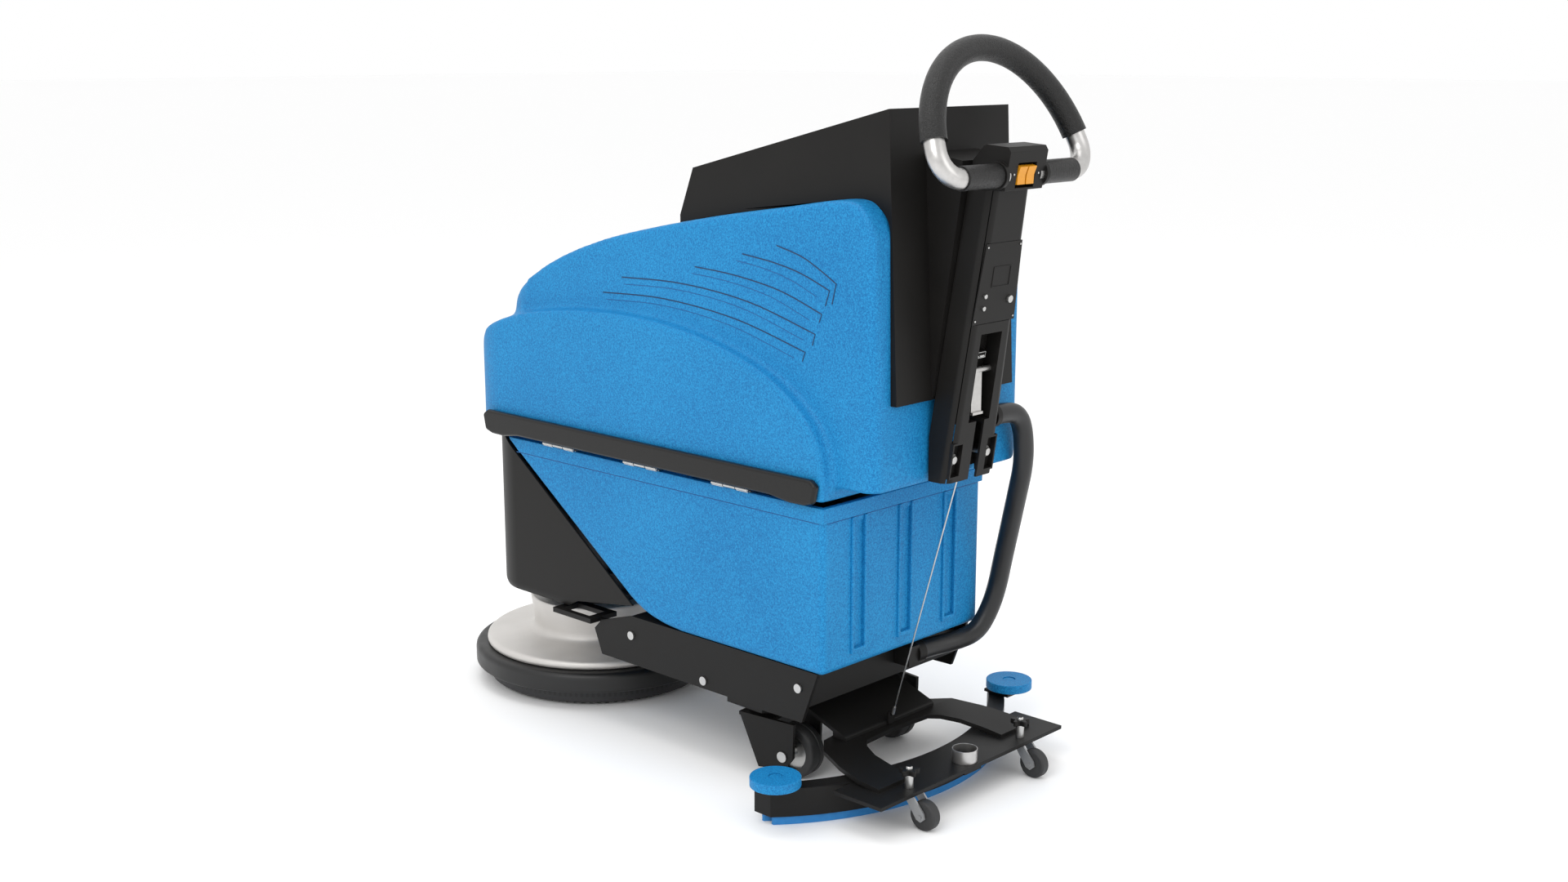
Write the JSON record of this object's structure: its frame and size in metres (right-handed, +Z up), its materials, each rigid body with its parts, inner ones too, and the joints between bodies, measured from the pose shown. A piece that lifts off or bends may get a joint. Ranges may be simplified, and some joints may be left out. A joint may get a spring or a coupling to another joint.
{
  "type": "walk-behind floor scrubber-dryer",
  "caption": "Walk-behind scrubber-dryer: blue tipping tank over a battery base, round brush deck in front, loop handle column and curved squeegee behind.",
  "frame": {"origin": "centre of the machine's outline on the floor", "axes": "+Z up, +Y towards the operator (the machine drives towards -Y), +X to the machine's left side"},
  "size_m": [0.66, 1.187, 1.166],
  "materials": {
    "blue_tank": "fine grained rotomoulded",
    "black_shell": "satin",
    "black_steel": "powder coated",
    "cast_dome": "sand cast",
    "black_rubber": "matte",
    "bright_steel": "zinc plated",
    "satin_tube": "satin",
    "grip_foam": "leather grain",
    "amber_switch": "satin",
    "meter_face": "white frame, dark cells",
    "battery_case": "satin",
    "motor_case": "satin",
    "tyre": "matte",
    "blade_rubber": "matte",
    "bristle": "nylon",
    "hose": "satin",
    "wheel_bracket": "grey",
    "knob": "satin"
  },
  "bodies": {
    "chassis": {"left_rail": "black_steel", "right_rail": "black_steel", "frame_deck": "black_steel", "rail_bolts": "bright_steel", "deck_brackets": "black_steel", "arm_rod": "bright_steel", "solution_tank": "blue_tank", "filler_cap": "black_shell", "left_battery": "battery_case", "right_battery": "battery_case", "front_shroud": "black_shell", "brush_housing": "cast_dome", "brush_skirt": "black_rubber", "brush_gearmotor": "motor_case", "lower_hinge_leaves": "black_steel", "hinge_pins": "bright_steel", "drain_hose": "hose", "drain_valve": "black_shell"},
    "brush": {"brush_driver": "black_shell", "brush_bristles": "bristle"},
    "recovery_unit": {"recovery_tank": "blue_tank", "top_cover": "black_shell", "left_bumper_strip": "black_shell", "right_bumper_strip": "black_shell", "upper_hinge_leaves": "black_steel", "vacuum_motor": "black_shell", "control_column": "black_shell", "column_fasteners": "bright_steel", "access_plate": "black_shell", "indicator_lamps": "bright_steel", "switch_head": "black_shell", "charge_meter": "meter_face", "handle_tube": "satin_tube", "handle_grip": "grip_foam", "left_bar_sleeve": "grip_foam", "right_bar_sleeve": "grip_foam", "hose_elbow": "black_shell"},
    "left_rocker": {"left_rocker": "amber_switch"},
    "right_rocker": {"right_rocker": "amber_switch"},
    "push_button": {"push_button": "bright_steel"},
    "lift_lever": {"lift_lever": "bright_steel"},
    "lift_cable": {"lift_cable": "bright_steel"},
    "squeegee": {"squeegee_arm": "black_steel", "squeegee_casting": "black_steel", "front_blade": "blade_rubber", "rear_blade": "blade_rubber", "suction_stub": "bright_steel", "support_wheel_brackets": "wheel_bracket"},
    "left_support_wheel": {"left_support_wheel": "tyre"},
    "right_support_wheel": {"right_support_wheel": "tyre"},
    "left_bumper_roller": {"left_bumper_roller": "blue_tank"},
    "right_bumper_roller": {"right_bumper_roller": "blue_tank"},
    "left_star_knob": {"left_star_knob": "knob"},
    "right_star_knob": {"right_star_knob": "knob"},
    "left_caster_fork": {"left_caster_fork": "black_steel", "left_caster_axle": "bright_steel"},
    "right_caster_fork": {"right_caster_fork": "black_steel", "right_caster_axle": "bright_steel"},
    "left_caster_wheel": {"left_caster_wheel": "tyre"},
    "right_caster_wheel": {"right_caster_wheel": "tyre"}
  },
  "joints": [
    {"name": "brush_spin", "type": "hinge", "parent": "chassis", "child": "brush", "pos_m": [0, -0.3635, 0.04], "axis": [0, 0, 1], "continuous": true},
    {"name": "tank_tip", "type": "hinge", "parent": "chassis", "child": "recovery_unit", "pos_m": [0.1975, 0, 0.482], "axis": [0, 1, 0], "range_deg": [0, 85], "deforming": ["lift_cable"]},
    {"name": "left_rocker_press", "type": "hinge", "parent": "recovery_unit", "child": "left_rocker", "pos_m": [0.0105, 0.58166, 0.97109], "axis": [1, 0, 0], "range_deg": [-7, 7]},
    {"name": "right_rocker_press", "type": "hinge", "parent": "recovery_unit", "child": "right_rocker", "pos_m": [-0.0105, 0.58166, 0.97109], "axis": [1, 0, 0], "range_deg": [-7, 7]},
    {"name": "button_press", "type": "slide", "parent": "recovery_unit", "child": "push_button", "axis": [0, -0.9889, 0.1483], "range_m": [0, 0.002], "stiffness_N_per_m": 400},
    {"name": "squeegee_lift", "type": "hinge", "parent": "chassis", "child": "squeegee", "pos_m": [0, 0.252, 0.112], "axis": [1, 0, 0], "range_deg": [0, 11]},
    {"name": "lever_turn", "type": "hinge", "parent": "recovery_unit", "child": "lift_lever", "pos_m": [0, 0.512, 0.68], "axis": [1, 0, 0], "range_deg": [0, 60]},
    {"name": "cable_pull", "type": "slide", "parent": "recovery_unit", "child": "lift_cable", "axis": [0.0368, 0.306, 0.9513], "range_m": [0, 0.02]},
    {"name": "left_support_wheel_roll", "type": "hinge", "parent": "squeegee", "child": "left_support_wheel", "pos_m": [0.1385, 0.5365, 0.0233], "axis": [1, 0, 0], "continuous": true},
    {"name": "right_support_wheel_roll", "type": "hinge", "parent": "squeegee", "child": "right_support_wheel", "pos_m": [-0.1385, 0.5365, 0.0233], "axis": [1, 0, 0], "continuous": true},
    {"name": "left_bumper_roller_turn", "type": "hinge", "parent": "squeegee", "child": "left_bumper_roller", "pos_m": [0.291, 0.3715, 0.077], "axis": [0, 0, 1], "continuous": true},
    {"name": "right_bumper_roller_turn", "type": "hinge", "parent": "squeegee", "child": "right_bumper_roller", "pos_m": [-0.291, 0.3715, 0.077], "axis": [0, 0, 1], "continuous": true},
    {"name": "left_star_knob_turn", "type": "hinge", "parent": "squeegee", "child": "left_star_knob", "pos_m": [0.14, 0.5055, 0.085], "axis": [0, 0, 1], "continuous": true},
    {"name": "right_star_knob_turn", "type": "hinge", "parent": "squeegee", "child": "right_star_knob", "pos_m": [-0.14, 0.5055, 0.085], "axis": [0, 0, 1], "continuous": true},
    {"name": "left_caster_swivel", "type": "hinge", "parent": "chassis", "child": "left_caster_fork", "pos_m": [0.126, 0.1955, 0.11], "axis": [0, 0, 1], "continuous": true},
    {"name": "left_caster_roll", "type": "hinge", "parent": "left_caster_fork", "child": "left_caster_wheel", "pos_m": [0.11869, 0.25505, 0.044], "axis": [0.9925, 0.1219, 0], "continuous": true},
    {"name": "right_caster_swivel", "type": "hinge", "parent": "chassis", "child": "right_caster_fork", "pos_m": [-0.126, 0.1955, 0.11], "axis": [0, 0, 1], "continuous": true},
    {"name": "right_caster_roll", "type": "hinge", "parent": "right_caster_fork", "child": "right_caster_wheel", "pos_m": [-0.11869, 0.25505, 0.044], "axis": [0.9925, -0.1219, 0], "continuous": true}
  ],
  "couplings": [
    {"joint": "lever_turn", "follows": "squeegee_lift", "ratio": 5.4545},
    {"joint": "cable_pull", "follows": "squeegee_lift", "m_per_rad": 0.10402}
  ]
}
